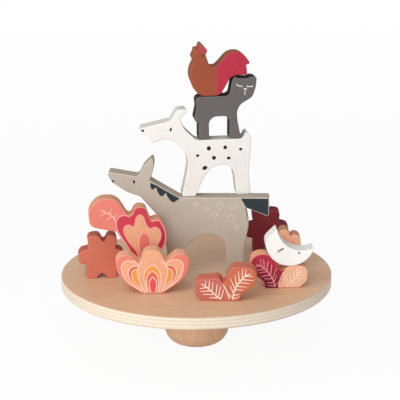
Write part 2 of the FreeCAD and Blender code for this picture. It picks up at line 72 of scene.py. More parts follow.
# Steps of a curve between two of its points, steps of a line's round section, corners of a dot
# and points of a ring. The outer rim of a dot has this share of the radius of its foot.
CURVE_STEPS = 6
SECTION_STEPS = 2
DOT_CORNERS = 28
DOT_TAPER = 0.97
RING_POINTS = 8

# Two fields of a face blend within the first width to each side of their line, and a face and
# its sawn edge within the second. A painted highlight lightens the rounded edge of a face
# between these depths below it (mm).
FIELD_FADE = 0.15
FACE_FADE = 0.1
EDGE_HIGHLIGHT_BAND = (0.3, 0.03)

# The gloss of bare and painted wood, and how much rougher a sawn edge is than a face.
WOOD_GLOSS = 0.18
MATT_EDGE = 0.36

# Most of a noise keeps between these two values.
NOISE_LOW = 0.3
NOISE_HIGH = 0.7


def paint(red, green, blue):
    """A colour as it shows on a screen, 0 to 255, as the linear colour a shader takes."""
    # A screen's colours follow a straight line near black and a power above it.
    linear = []
    for part in (red, green, blue):
        share = part / 255.0
        if share <= 0.04045:
            linear.append(share / 12.92)
        else:
            linear.append(((share + 0.055) / 1.055) ** 2.4)
    return (linear[0], linear[1], linear[2], 1.0)


class Finish:
    """One procedural material while its nodes are being put together."""

    def __init__(self, name):
        self.material = bpy.data.materials.new(name)
        self.material.use_nodes = True
        self.tree = self.material.node_tree
        self.tree.nodes.clear()
        self.output = self.tree.nodes.new("ShaderNodeOutputMaterial")
        self.skin = self.tree.nodes.new("ShaderNodeBsdfPrincipled")
        self.skin.inputs["Specular IOR Level"].default_value = WOOD_GLOSS
        self.join(self.skin.outputs["BSDF"], self.output.inputs["Surface"])

    def join(self, source, socket):
        """Links a node's output to a socket."""
        self.tree.links.new(source, socket)

    def feed(self, socket, value):
        """Links a node's output to a socket, or sets the socket to a plain value."""
        if hasattr(value, "is_linked"):
            self.join(value, socket)
        else:
            socket.default_value = value

    def work_out(self, operation, first, second=0.0):
        """A Math node's operation on two values, each a plain number or a node's output."""
        node = self.tree.nodes.new("ShaderNodeMath")
        node.operation = operation
        self.feed(node.inputs[0], first)
        self.feed(node.inputs[1], second)
        return node.outputs[0]

    def plus(self, first, second):
        return self.work_out("ADD", first, second)

    def minus(self, first, second):
        return self.work_out("SUBTRACT", first, second)

    def times(self, first, second):
        return self.work_out("MULTIPLY", first, second)

    def larger(self, first, second):
        return self.work_out("MAXIMUM", first, second)

    def smaller(self, first, second):
        return self.work_out("MINIMUM", first, second)

    def ramp(self, value, low, high, low_to=0.0, high_to=1.0):
        """A value that runs from low to high, turned into one from low_to to high_to."""
        node = self.tree.nodes.new("ShaderNodeMapRange")
        node.clamp = True
        self.feed(node.inputs["Value"], value)
        node.inputs["From Min"].default_value = low
        node.inputs["From Max"].default_value = high
        node.inputs["To Min"].default_value = low_to
        node.inputs["To Max"].default_value = high_to
        return node.outputs[0]

    def spread(self, noise, low_to=0.0, high_to=1.0):
        """The middle of a noise's range, where most of it lies, spread over low_to to high_to."""
        return self.ramp(noise, NOISE_LOW, NOISE_HIGH, low_to, high_to)

    def blend(self, share, first, second):
        """The first colour where share is 0 and the second where it is 1."""
        # In a colour mix the two colours are sockets 6 and 7, and the result is output 2.
        node = self.tree.nodes.new("ShaderNodeMix")
        node.data_type = "RGBA"
        self.feed(node.inputs["Factor"], share)
        self.feed(node.inputs[6], first)
        self.feed(node.inputs[7], second)
        return node.outputs[2]

    def tone(self, colour, value):
        """The colour made lighter or darker by value, around 1."""
        node = self.tree.nodes.new("ShaderNodeHueSaturation")
        self.feed(node.inputs["Value"], value)
        self.feed(node.inputs["Color"], colour)
        return node.outputs[0]

    def place(self, across=0.0, depth=0.0, turn=0.0, height=0.0):
        """Millimetres measured from a figure's own feet: x across, y back, z up."""
        source = self.tree.nodes.new("ShaderNodeTexCoord")
        own = self.tree.nodes.new("ShaderNodeMapping")
        own.vector_type = "TEXTURE"
        own.inputs["Location"].default_value = (across * MM, depth * MM, height * MM)
        own.inputs["Rotation"].default_value = (0.0, 0.0, math.radians(turn))
        own.inputs["Scale"].default_value = (MM, MM, MM)
        self.join(source.outputs["Object"], own.inputs["Vector"])
        return own.outputs[0]

    def axes(self, vector):
        """Its three numbers: across, depth and up."""
        node = self.tree.nodes.new("ShaderNodeSeparateXYZ")
        self.join(vector, node.inputs[0])
        return node.outputs[0], node.outputs[1], node.outputs[2]

    def stretched(self, vector, across, depth, up):
        """A place multiplied on each axis: a small number draws a noise out along that axis."""
        node = self.tree.nodes.new("ShaderNodeVectorMath")
        node.operation = "MULTIPLY"
        self.join(vector, node.inputs[0])
        node.inputs[1].default_value = (across, depth, up)
        return node.outputs[0]

    def noise(self, vector, detail, scale=1.0, twist=0.0):
        """A soft noise. A scale of 1 makes patches of about a millimetre."""
        node = self.tree.nodes.new("ShaderNodeTexNoise")
        node.inputs["Scale"].default_value = scale
        node.inputs["Detail"].default_value = detail
        node.inputs["Distortion"].default_value = twist
        self.join(vector, node.inputs["Vector"])
        return node.outputs[0]

    def side_of(self, vector, start, end):
        """How far a point lies to the left of the line from start to end, in mm."""
        run = Vector((end[0] - start[0], end[1] - start[1])).normalized()
        left = (-run.y, 0.0, run.x)
        node = self.tree.nodes.new("ShaderNodeVectorMath")
        node.operation = "DOT_PRODUCT"
        self.join(vector, node.inputs[0])
        node.inputs[1].default_value = left
        return self.minus(node.outputs["Value"], left[0] * start[0] + left[2] * start[1])

    def surface(self, colour, roughness, height, relief_mm, strength=0.5):
        """Colour, roughness and fine relief onto the shader."""
        self.feed(self.skin.inputs["Base Color"], colour)
        self.feed(self.skin.inputs["Roughness"], roughness)
        bump = self.tree.nodes.new("ShaderNodeBump")
        bump.inputs["Strength"].default_value = strength
        bump.inputs["Distance"].default_value = relief_mm * MM
        self.join(height, bump.inputs["Height"])
        self.join(bump.outputs[0], self.skin.inputs["Normal"])
        return self.material


def painted_figure(name, face, wall, edge_highlight=0.2, lip=0.45):
    """Paint on wood: one finish on both faces and a plain colour round the sawn edge.

    face is a colour, or a function that lays more than one field. The fourth argument sets how
    much a painted highlight lightens the rounded edge of a face, and the face's colour ends lip
    mm below the face.
    """
    finish = Finish(name + "_paint")
    own = finish.place(*STANDS[name])
    off_middle = finish.work_out("ABSOLUTE", finish.axes(own)[1])
    face_end = HALF_THICKNESS - lip
    on_face = finish.ramp(off_middle, face_end - FACE_FADE, face_end + FACE_FADE)
    face_colour = face(finish, own) if callable(face) else paint(*face)
    colour = finish.blend(on_face, paint(*wall), face_colour)
    grain = finish.noise(finish.stretched(own, 0.9, 0.9, 0.07), detail=4.0, twist=0.4)
    cloud = finish.noise(own, scale=0.05, detail=2.0)
    shade = finish.plus(finish.spread(grain, -0.02, 0.02), finish.spread(cloud, 0.975, 1.025))
    # A painted highlight: the rounded edge of each face is made lighter than its paint.
    deep, shallow = EDGE_HIGHLIGHT_BAND
    painted_highlight = finish.ramp(off_middle, HALF_THICKNESS - deep, HALF_THICKNESS - shallow, edge_highlight, 0.0)
    shade = finish.plus(shade, finish.times(painted_highlight, on_face))
    speck = finish.noise(own, scale=2.2, detail=4.0)
    relief = finish.plus(finish.times(grain, 0.7), finish.times(speck, 0.3))
    matt_edge = finish.minus(MATT_EDGE, finish.times(on_face, MATT_EDGE))
    roughness = finish.plus(finish.spread(speck, 0.44, 0.58), matt_edge)
    return finish.surface(finish.tone(colour, shade), roughness, relief, relief_mm=0.08)


def wear(node, material):
    """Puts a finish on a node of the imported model."""
    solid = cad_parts[node]
    solid.data.materials.clear()
    solid.data.materials.append(material)


def board_finish():
    """Birch plywood: a warm veneer on top, pale plies round the rim."""
    finish = Finish("board_plywood")
    own = finish.place(height=BOARD_TOP - BOARD_THICKNESS)
    up = finish.axes(own)[2]
    layer = finish.work_out("DIVIDE", up, BOARD_THICKNESS / PLIES)
    turned = finish.ramp(finish.work_out("PINGPONG", layer, 1.0), 0.45, 0.55)
    along_grain = finish.noise(finish.stretched(own, 0.035, 0.9, 1.2), detail=5.0, twist=0.6)
    end_grain = finish.noise(finish.stretched(own, 0.8, 0.8, 2.5), detail=3.0)
    pale = finish.blend(turned, paint(238, 224, 206), paint(228, 212, 190))
    rim = finish.tone(pale, finish.spread(end_grain, 0.93, 1.05))
    streak = finish.ramp(along_grain, 0.3, 0.72)
    veneer = finish.blend(streak, paint(226, 188, 155), paint(212, 172, 138))
    near, far = VENEER
    on_top = finish.ramp(up, BOARD_THICKNESS - far, BOARD_THICKNESS - near)
    underneath = finish.ramp(up, near, far, 1.0, 0.0)
    skin = finish.larger(on_top, underneath)
    colour = finish.blend(skin, rim, veneer)
    roughness = finish.spread(along_grain, 0.42, 0.55)
    return finish.surface(colour, roughness, along_grain, relief_mm=0.06)


def foot_finish():
    """Turned beech: upright grain, short flecks and the fine rings of the lathe."""
    finish = Finish("turned_beech")
    own = finish.place()
    grain = finish.noise(finish.stretched(own, 0.5, 0.5, 0.04), detail=5.0, twist=0.5)
    fleck = finish.noise(finish.stretched(own, 1.6, 1.6, 0.35), detail=2.0)
    ring = finish.noise(finish.stretched(own, 0.0, 0.0, 1.8), detail=2.0)
    wood = finish.blend(finish.spread(grain), paint(244, 206, 172), paint(230, 187, 151))
    flecked = finish.blend(finish.ramp(fleck, 0.66, 0.72, 0.0, 0.35), wood, paint(166, 118, 84))
    relief = finish.plus(finish.times(grain, 0.4), finish.times(ring, 0.6))
    roughness = finish.spread(grain, 0.42, 0.55)
    return finish.surface(flecked, roughness, relief, relief_mm=0.08)


def red_pair_face(finish, own):
    """Crimson that darkens downwards on the left leaf, peach on the right one."""
    across, _, up = finish.axes(own)
    wash = finish.noise(own, scale=0.12, detail=3.0)
    sunk = finish.plus(finish.times(across, 0.35), up)
    light = finish.ramp(finish.plus(sunk, finish.times(wash, 5.0)), 3.0, 18.0)
    crimson = finish.blend(light, paint(118, 29, 47), paint(180, 50, 69))
    right = finish.side_of(own, (-4.3, 0.0), (0.4, 13.6))
    share = finish.ramp(right, -FIELD_FADE, FIELD_FADE, 1.0, 0.0)
    return finish.blend(share, crimson, paint(241, 187, 154))


def orange_pair_face(finish, own):
    """Coral on the left leaf, orange on the right one."""
    right = finish.side_of(own, (6.6, 0.9), (1.0, 13.6))
    share = finish.ramp(right, -FIELD_FADE, FIELD_FADE, 1.0, 0.0)
    return finish.blend(share, paint(196, 110, 97), paint(199, 108, 81))


def rooster_face(finish, own):
    """Russet body, red tail."""
    across = finish.axes(own)[0]
    tail = finish.ramp(across, 7.5, 7.8)
    return finish.blend(tail, paint(158, 79, 54), paint(184, 48, 70))


def red_flower_face(finish, own):
    """Coral leaf on the left, red tulip on the right, its left side bulging out."""
    edge = [(-2.2, 24.9), (-5.0, 29.6), (-8.1, 34.8), (-11.0, 40.2), (-11.8, 45.0), (-11.2, 48.2),
            (-9.1, 50.6), (-5.6, 51.3), (-1.9, 49.7)]
    inside = None
    for start, end in zip(edge[1:], edge[:-1]):
        side = finish.side_of(own, start, end)
        inside = side if inside is None else finish.smaller(inside, side)
    across, _, up = finish.axes(own)
    below = finish.side_of(own, (-2.2, 24.9), (7.3, 5.8))
    right = finish.smaller(below, finish.minus(across, -2.2))
    inside = finish.larger(inside, right)
    tulip = finish.ramp(inside, -FIELD_FADE, FIELD_FADE)
    lower_right = finish.ramp(finish.minus(across, finish.times(up, 0.4)), -2.0, 14.0)
    red = finish.blend(lower_right, paint(200, 63, 78), paint(160, 44, 60))
    return finish.blend(tulip, paint(226, 128, 113), red)


def lotus_face(finish, own):
    """Salmon side petals; the tip of the middle petal is peach up to its edge."""
    across, _, up = finish.axes(own)
    middle = finish.ramp(finish.work_out("ABSOLUTE", across), 9.3, 9.5, 1.0, 0.0)
    tip = finish.smaller(middle, finish.ramp(up, 21.4, 21.6))
    return finish.blend(tip, paint(228, 133, 115), paint(238, 172, 136))


def ink_finish(ink, colour):
    """A thin printed ink: nearly even, a little matter than the paint."""
    finish = Finish(ink + "_ink")
    own = finish.place()
    cloud = finish.noise(own, scale=0.3, detail=3.0)
    speck = finish.noise(own, scale=3.0, detail=4.0)
    shade = finish.spread(cloud, 0.96, 1.04)
    roughness = finish.spread(speck, 0.5, 0.62)
    toned = finish.tone(paint(*colour), shade)
    return finish.surface(toned, roughness, speck, relief_mm=0.03, strength=0.4)


INKS = {
    "slate": (44, 55, 60),
    "black": (34, 33, 35),
    "cream": (224, 212, 194),
    "pale_grey": (232, 222, 222),
    "comb_red": (196, 62, 84),
    "rose": (248, 160, 152),
    "peach": (230, 168, 132),
    "light_peach": (238, 172, 136),
    "seed": (221, 119, 106),
    "shell": (252, 208, 188),
    "terracotta": (224, 112, 90),
    "orange": (238, 158, 76),
    "core": (226, 84, 95),
    "pink_vein": (240, 158, 166),
    "charcoal": (50, 47, 50),
    "pale_rose": (250, 186, 174),
    "cream_vein": (252, 224, 206),
}
INK_FINISHES = {ink: ink_finish(ink, colour) for ink, colour in INKS.items()}


def line_through(points, closed, sharp=()):
    """A smooth curve through points (across, up) in mm, which turns sharply at those listed."""
    curve = bpy.data.curves.new("line", "CURVE")
    curve.resolution_u = CURVE_STEPS
    spline = curve.splines.new("BEZIER")
    spline.bezier_points.add(len(points) - 1)
    spline.use_cyclic_u = closed
    for number, (across, up) in enumerate(points):
        knot = spline.bezier_points[number]
        knot.co = (across * MM, up * MM, 0.0)
        kind = "VECTOR" if number in sharp else "AUTO"
        knot.handle_left_type = kind
        knot.handle_right_type = kind
    return curve


def mesh_of(curve):
    """The mesh of a curve. The curve is thrown away."""
    holder = bpy.data.objects.new("line", curve)
    mesh = bpy.data.meshes.new_from_object(holder)
    bpy.data.objects.remove(holder)
    bpy.data.curves.remove(curve)
    return mesh


class Print:
    """The ink on both faces of one figure, as one thin piece for each colour.

    Shapes are given from the front: across and up from the figure's feet, in mm. The back gets
    the same shapes, mirrored. A shape with more coats lies over one with fewer.
    """

    def __init__(self, figure, slot):
        self.figure = figure
        self.slot = slot
        self.pieces = {}

    def piece(self, ink):
        """The figure's piece of one ink, begun when it is first asked for."""
        if ink not in self.pieces:
            self.pieces[ink] = bmesh.new()
        return self.pieces[ink]

    def lay(self, ink, mesh, thickness_scale, middle):
        """Stands a flat mesh upright in front of the wood, middle mm off it."""
        flat = Matrix.Diagonal((1.0, 1.0, thickness_scale, 1.0))
        upright = Matrix.Rotation(math.radians(90.0), 4, "X")
        forward = Matrix.Translation((0.0, -(HALF_THICKNESS + middle) * MM, 0.0))
        mesh.transform(forward @ upright @ flat)
        self.piece(ink).from_mesh(mesh)
        bpy.data.meshes.remove(mesh)

    def field(self, ink, points, coats=1, sharp=()):
        """The area inside a closed line, which turns sharply at the points listed as sharp."""
        curve = line_through(points, True, sharp)
        curve.dimensions = "2D"
        curve.fill_mode = "BOTH"
        curve.extrude = (coats * COAT + SUNK) / 2.0 * MM
        self.lay(ink, mesh_of(curve), 1.0, (coats * COAT - SUNK) / 2.0)

    def stroke(self, ink, points, width, coats=1, ends=(1.0, 1.0), closed=False, sharp=()):
        """A line of the given width, thinner or wider at its two ends."""
        curve = line_through(points, closed, sharp)
        curve.dimensions = "3D"
        curve.bevel_depth = width / 2.0 * MM
        curve.bevel_resolution = SECTION_STEPS
        curve.use_fill_caps = not closed
        if not closed:
            knots = curve.splines[0].bezier_points
            knots[0].radius = ends[0]
            knots[-1].radius = ends[1]
        self.lay(ink, mesh_of(curve), (COAT + SUNK) / width, (coats - 0.5) * COAT)

    def dot(self, ink, across, up, wide, high=None, lean=0.0):
        """A round or oval spot with the given width and height, leaning by an angle."""
        high = high or wide
        oval = Matrix.Diagonal((wide / 2.0 * MM, high / 2.0 * MM, 1.0, 1.0))
        lie = Matrix.Rotation(math.radians(lean), 4, "Z")
        upright = Matrix.Rotation(math.radians(90.0), 4, "X")
        middle = HALF_THICKNESS + (COAT - SUNK) / 2.0
        spot = Matrix.Translation((across * MM, -middle * MM, up * MM))
        bmesh.ops.create_cone(self.piece(ink), cap_ends=True, cap_tris=False,
                              segments=DOT_CORNERS, radius1=1.0, radius2=DOT_TAPER,
                              depth=(COAT + SUNK) * MM,
                              matrix=spot @ upright @ lie @ oval)

    def ring(self, ink, across, up, radius, width):
        """A circle drawn as a line of the given width."""
        turns = [math.radians(360.0 / RING_POINTS * step) for step in range(RING_POINTS)]
        points = [(across + radius * math.cos(turn), up + radius * math.sin(turn))
                  for turn in turns]
        self.stroke(ink, points, width, closed=True)

    def done(self):
        """Copies the print to the back, then puts every piece in its place."""
        across, depth, turn, height = STANDS[self.figure]
        place = Matrix.Translation((across * MM, depth * MM, height * MM))
        stand = place @ Matrix.Rotation(math.radians(turn), 4, "Z")
        for ink, piece in self.pieces.items():
            bmesh.ops.remove_doubles(piece, verts=piece.verts[:], dist=SAME_PLACE)
            front = piece.verts[:] + piece.edges[:] + piece.faces[:]
            copied = bmesh.ops.duplicate(piece, geom=front)["geom"]
            back = [item for item in copied if isinstance(item, bmesh.types.BMVert)]
            bmesh.ops.scale(piece, vec=(1.0, -1.0, 1.0), verts=back)
            bmesh.ops.recalc_face_normals(piece, faces=piece.faces[:])
            bmesh.ops.transform(piece, matrix=stand, verts=piece.verts[:])
            name = f"{self.figure}_{ink}_print"
            mesh = bpy.data.meshes.new(name)
            piece.to_mesh(mesh)
            piece.free()
            mesh.materials.append(INK_FINISHES[ink])
            shape = bpy.data.objects.new(name, mesh)
            bpy.context.scene.collection.objects.link(shape)
            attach(shape, "root")


def print_donkey():
    """Eye, nostril, scalloped mane, dark tail and pale rings."""
    ink = Print("donkey", "grey_brown_paint")
    ink.dot("black", -44.7, 69.8, 1.6, 2.7, 12.0)
    ink.dot("black", -59.9, 70.3, 1.3, 2.1, 28.0)
    mane_and_tail = [
        ([(-32.6, 69.2), (-32.8, 66.6), (-31.3, 64.0), (-29.0, 65.6), (-27.6, 66.6)], (0, 3, 4)),
        ([(-29.6, 67.8), (-28.6, 65.2), (-27.4, 61.9), (-24.7, 59.0), (-22.0, 61.1),
          (-20.7, 62.4)], (0, 4, 5)),
        ([(-21.6, 63.0), (-21.2, 60.6), (-19.6, 57.3), (-16.1, 54.4), (-13.8, 55.8),
          (-11.6, 57.2)], (0, 5)),
        ([(33.0, 57.3), (35.0, 53.6), (36.7, 50.6), (52.8, 44.3), (52.9, 57.2)], (0, 2, 3, 4)),
    ]
    for outline, sharp in mane_and_tail:
        ink.field("slate", outline, sharp=sharp)
    rings = [(0.0, 53.1, 1.4), (8.2, 49.6, 1.3), (17.7, 51.5, 2.2), (27.3, 51.1, 2.2),
             (13.8, 45.3, 1.6), (25.8, 42.4, 2.4), (29.7, 35.7, 1.2)]
    for across, up, radius in rings:
        ink.ring("cream", across, up, radius, 0.5)
    ink.done()


def print_dog():
    """Eye, nose and round spots."""
    ink = Print("dog", "white_paint")
    ink.dot("black", -17.6, 50.7, 1.5, 2.8, -14.0)
    ink.dot("black", -37.8, 50.6, 2.1, 1.8)
    spots = [(9.9, 35.7, 3.1, 3.3, 0.0), (21.9, 36.0, 2.8, 2.8, 0.0), (33.2, 34.2, 2.4, 2.1, 0.0),
             (1.7, 30.6, 2.4, 2.1, 20.0), (13.6, 28.5, 3.0, 3.0, 0.0),
             (24.4, 27.9, 2.8, 2.3, 0.0), (6.9, 21.2, 3.8, 3.0, 25.0)]
    for across, up, wide, high, lean in spots:
        ink.dot("black", across, up, wide, high, lean)
    ink.done()


def print_cat():
    """Closed eyes, nose and mouth."""
    ink = Print("cat", "grey_paint")
    ink.stroke("pale_grey", [(27.3, 40.2), (29.4, 39.0), (32.0, 38.6)], 0.7, ends=(0.7, 0.7))
    ink.stroke("pale_grey", [(34.7, 38.7), (37.0, 38.2), (39.8, 38.6)], 0.7, ends=(0.7, 0.7))
    lashes = [(28.0, 39.8, -0.2), (29.6, 39.1, -0.1), (31.2, 38.8, 0.0),
              (35.8, 38.5, 0.0), (37.4, 38.3, 0.1), (39.0, 38.4, 0.3)]
    for across, up, lean in lashes:
        ink.stroke("pale_grey", [(across, up), (across + lean, up - 1.1)], 0.45, ends=(1.0, 0.6))
    ink.dot("pale_grey", 33.9, 36.4, 2.3, 1.2)
    ink.stroke("pale_grey", [(33.9, 35.4), (33.7, 33.6), (33.5, 32.0)], 0.65, ends=(0.7, 1.0))
    ink.done()


def print_rooster():
    """Eye and red comb."""
    ink = Print("rooster", "russet_paint")
    ink.dot("black", -2.9, 29.7, 1.2, 1.6, 40.0)
    comb = [(-3.8, 37.0), (-0.3, 33.5), (-1.3, 31.0), (-2.6, 32.8), (-4.6, 33.9)]
    ink.field("comb_red", comb, sharp=(0, 1, 2))
    ink.done()


def print_red_flower():
    """Veins on the leaf; lines, a peach heart and a seed on the tulip."""
    ink = Print("red_flower", "red_paint")
    heart = [(6.0, 12.4), (2.5, 24.0), (-0.5, 28.1), (-4.0, 33.4), (-6.3, 39.0), (-6.1, 42.2),
             (-4.4, 43.8), (-2.4, 43.9), (0.3, 42.7), (1.7, 45.2), (2.8, 49.4), (4.9, 51.3),
             (7.0, 50.4), (8.9, 45.7), (10.9, 42.0), (12.6, 40.9), (15.4, 41.8), (17.8, 41.0),
             (19.5, 38.5), (20.0, 35.5), (19.0, 31.6), (17.3, 28.4), (12.5, 18.0), (8.5, 11.0)]
    seed = [(8.3, 16.0), (5.1, 23.8), (4.3, 27.8), (4.6, 32.8), (5.7, 36.0), (8.1, 37.6),
            (10.5, 36.2), (11.8, 33.3), (12.4, 29.3), (11.4, 22.0)]
    left_line = [(7.3, 5.8), (2.8, 14.3), (-2.2, 24.9), (-5.0, 29.6), (-8.1, 34.8),
                 (-11.0, 40.2), (-11.8, 45.0), (-11.2, 48.2), (-9.1, 50.6), (-5.6, 51.4),
                 (-1.8, 50.0)]
    right_line = [(13.3, 45.9), (15.8, 46.7), (19.1, 46.5), (21.4, 42.8), (23.1, 38.4),
                  (23.4, 33.0), (22.8, 29.8), (18.8, 22.1)]
    ink.field("peach", heart, 1)
    ink.field("seed", seed, 2)
    ink.stroke("rose", heart, 1.0, 2, closed=True)
    ink.stroke("rose", seed, 0.9, 3, closed=True)
    ink.stroke("rose", left_line, 1.0)
    ink.stroke("rose", right_line, 0.9)
    rib = [(-12.0, 45.6), (-13.3, 49.3), (-15.6, 51.8), (-18.2, 53.7), (-23.7, 56.0)]
    veins = [
        [(-15.7, 51.9), (-15.8, 54.4), (-14.8, 57.2)],
        [(-13.3, 49.5), (-12.4, 51.1), (-10.6, 52.3)],
        [(-14.0, 50.2), (-17.0, 49.8), (-19.1, 47.6)],
        [(-18.7, 53.8), (-21.0, 52.8), (-23.2, 51.2)],
        [(-19.4, 54.2), (-20.4, 54.5), (-21.2, 55.9)],
    ]
    ink.stroke("pale_rose", rib, 0.9, 2, ends=(1.2, 0.6))
    for vein in veins:
        ink.stroke("pale_rose", vein, 0.75, 2, ends=(1.0, 0.6))
    ink.done()


def print_lotus():
    """Nested petals with pale lines between them."""
    ink = Print("lotus", "salmon_paint")
    middle_line = -0.4
    # Ink, width of the pale line round it, and outline of each field of the right-hand petal.
    side_petal = [
        ("light_peach", 0.9, [(10.9, 23.0), (14.7, 24.9), (19.3, 24.3), (21.5, 21.7),
                              (21.4, 16.8), (19.0, 11.2), (15.0, 7.0), (11.2, 4.4),
                              (7.4, 1.7), (6.5, 8.0)]),
        ("terracotta", 0.75, [(9.8, 20.4), (13.9, 20.8), (16.4, 18.4), (17.0, 15.4),
                              (15.6, 10.9), (11.9, 6.4), (8.0, 3.2), (7.5, 8.0)]),
        ("orange", 0.75, [(9.9, 18.2), (13.1, 17.8), (14.6, 15.1), (13.8, 10.9),
                          (11.2, 7.5), (8.2, 4.6), (7.8, 8.0)]),
    ]
    for coats, (colour, line, petal) in enumerate(side_petal, start=1):
        for side in (1.0, -1.0):
            shape = [(side * across + middle_line, up) for across, up in petal]
            foot = (len(petal) - 2,)
            ink.field(colour, shape, coats, foot)
            ink.stroke("shell", shape, line, coats + 1, closed=True, sharp=foot)
    # The middle petal lies over the side petals, its lines over it, and its arches over them.
    middle_coats = 5
    middle = [(-5.9, 1.0), (-8.0, 6.2), (-10.0, 12.3), (-10.6, 19.2), (-8.0, 23.9), (-5.6, 28.8),
              (-0.4, 31.0), (5.0, 28.8), (7.6, 24.0), (10.0, 19.9), (10.4, 15.5), (8.9, 8.8),
              (5.9, 1.0)]
    ink.field("light_peach", middle, middle_coats, (0, len(middle) - 1))
    left_side = [(-7.4, 24.5), (-10.4, 19.2), (-10.2, 12.3), (-8.2, 6.2), (-5.6, 1.3)]
    right_side = [(7.1, 24.7), (9.8, 19.9), (10.2, 15.5), (8.9, 8.8), (5.9, 1.3)]
    base = [(-6.8, 1.2), (6.2, 1.2)]
    for line in (left_side, right_side, base):
        ink.stroke("shell", line, 1.0, middle_coats + 1)
    arches = [
        ("orange", [(-4.2, 1.2), (-6.1, 9.0), (-6.4, 13.8), (-4.7, 18.2), (-0.4, 21.2),
                    (3.9, 18.2), (5.6, 13.6), (5.4, 8.8), (3.9, 1.2)]),
        ("terracotta", [(-3.2, 1.2), (-4.7, 9.8), (-3.4, 14.4), (-0.4, 16.8), (2.6, 14.4),
                        (3.9, 9.8), (2.9, 1.2)]),
        ("core", [(-1.7, 1.2), (-2.7, 7.4), (-1.9, 10.8), (-0.3, 12.3), (1.5, 10.8),
                  (2.4, 7.4), (1.4, 1.2)]),
    ]
    for coats, (colour, arch) in enumerate(arches, start=middle_coats + 1):
        ink.field(colour, arch, coats, (0, len(arch) - 1))
        ink.stroke("shell", arch, 0.85, coats + 1)
    ink.done()


def print_leaf(ink, colour, rib, veins, width):
    """A rib and the finer veins off it, each thinner towards its tip."""
    ink.stroke(colour, rib, width * 1.2, 1, ends=(0.6, 1.1))
    for vein in veins:
        ink.stroke(colour, vein, width, 1, ends=(1.0, 0.55))


def print_orange_pair():
    """A dividing line and the veins of both leaves."""
    ink = Print("orange_leaf_pair", "orange_paint")
    left_rib = [(-13.6, 12.6), (-9.8, 10.1), (-6.7, 7.2), (-3.3, 4.0), (0.2, 1.2)]
    print_leaf(ink, "cream_vein", left_rib, [
        [(-10.7, 10.8), (-10.5, 15.0)],
        [(-8.2, 8.8), (-7.9, 15.0)],
        [(-6.0, 6.7), (-5.5, 13.6)],
        [(-3.5, 4.4), (-2.3, 12.6)],
        [(-1.7, 2.8), (0.0, 11.2)],
        [(0.0, 1.5), (2.1, 8.8)],
        [(-10.0, 10.1), (-14.7, 8.9)],
        [(-7.2, 7.5), (-14.3, 6.9)],
        [(-4.3, 4.9), (-12.3, 4.9)],
        [(-1.3, 2.4), (-7.9, 2.4)],
    ], 0.85)
    right_rib = [(20.7, 20.3), (17.6, 18.7), (15.1, 16.6), (12.9, 14.0), (11.0, 11.1), (9.5, 7.4),
                 (8.6, 3.5), (8.4, 1.2)]
    print_leaf(ink, "cream_vein", right_rib, [
        [(17.0, 18.3), (17.7, 23.5)],
        [(15.0, 16.6), (15.3, 23.8)],
        [(13.0, 14.1), (12.2, 22.2)],
        [(11.0, 11.2), (9.9, 19.2)],
        [(10.0, 8.9), (6.7, 16.9)],
        [(9.1, 5.6), (6.4, 11.6)],
        [(8.6, 2.2), (5.2, 6.0)],
        [(17.4, 18.5), (22.4, 18.5)],
        [(14.6, 16.0), (22.8, 15.4)],
        [(12.9, 13.8), (20.1, 13.3)],
        [(11.2, 11.2), (18.2, 10.4)],
        [(10.1, 8.6), (16.1, 8.4)],
        [(8.9, 4.2), (13.5, 5.3)],
        [(8.5, 1.6), (13.0, 3.4)],
    ], 0.85)
    ink.stroke("cream_vein", [(1.7, 11.9), (3.6, 8.7), (6.3, 1.3)], 0.9)
    ink.done()


def print_red_pair():
    """A dividing line, pink veins on the crimson leaf and pale ones on the peach leaf."""
    ink = Print("red_leaf_pair", "crimson_paint")
    left_rib = [(-20.1, 18.1), (-17.4, 17.3), (-14.6, 15.5), (-12.1, 13.0), (-9.9, 9.8),
                (-8.2, 6.8), (-7.1, 3.8), (-6.6, 1.0)]
    print_leaf(ink, "pink_vein", left_rib, [
        [(-16.2, 16.6), (-17.2, 22.3)],
        [(-14.4, 15.3), (-14.5, 19.2), (-15.0, 21.9)],
        [(-12.3, 13.3), (-11.9, 18.3), (-11.2, 20.4)],
        [(-9.9, 10.0), (-9.3, 13.6), (-9.0, 18.0)],
        [(-8.2, 7.0), (-5.5, 15.4)],
        [(-7.2, 4.4), (-5.4, 9.8)],
        [(-6.7, 1.4), (-4.3, 4.9)],
        [(-17.4, 17.3), (-20.6, 16.4)],
        [(-13.7, 14.8), (-19.8, 13.8)],
        [(-11.8, 12.6), (-18.5, 12.0)],
        [(-10.2, 10.1), (-16.5, 9.0)],
        [(-8.5, 7.2), (-14.5, 7.2)],
        [(-7.2, 4.0), (-12.1, 4.3)],
        [(-6.7, 1.6), (-11.6, 2.2)],
    ], 0.7)
    right_rib = [(13.1, 12.8), (9.8, 9.7), (7.7, 7.2), (4.9, 4.3), (1.6, 1.3)]
    print_leaf(ink, "cream_vein", right_rib, [
        [(11.0, 10.9), (10.6, 15.0)],
        [(9.2, 9.0), (8.7, 14.8)],
        [(7.3, 6.8), (6.5, 13.0)],
        [(5.1, 4.6), (3.8, 11.5)],
        [(3.3, 2.8), (0.8, 10.6)],
        [(1.8, 1.2), (-0.4, 8.3)],
        [(9.7, 9.5), (15.4, 8.4)],
        [(7.6, 7.1), (14.4, 6.6)],
        [(5.3, 4.7), (13.0, 4.7)],
        [(3.6, 3.0), (11.1, 2.7)],
        [(1.7, 1.1), (8.0, 1.3)],
    ], 0.75)
    ink.stroke("shell", [(0.1, 12.7), (-1.6, 9.7), (-2.9, 6.3), (-4.1, 1.2)], 0.75)
    ink.done()


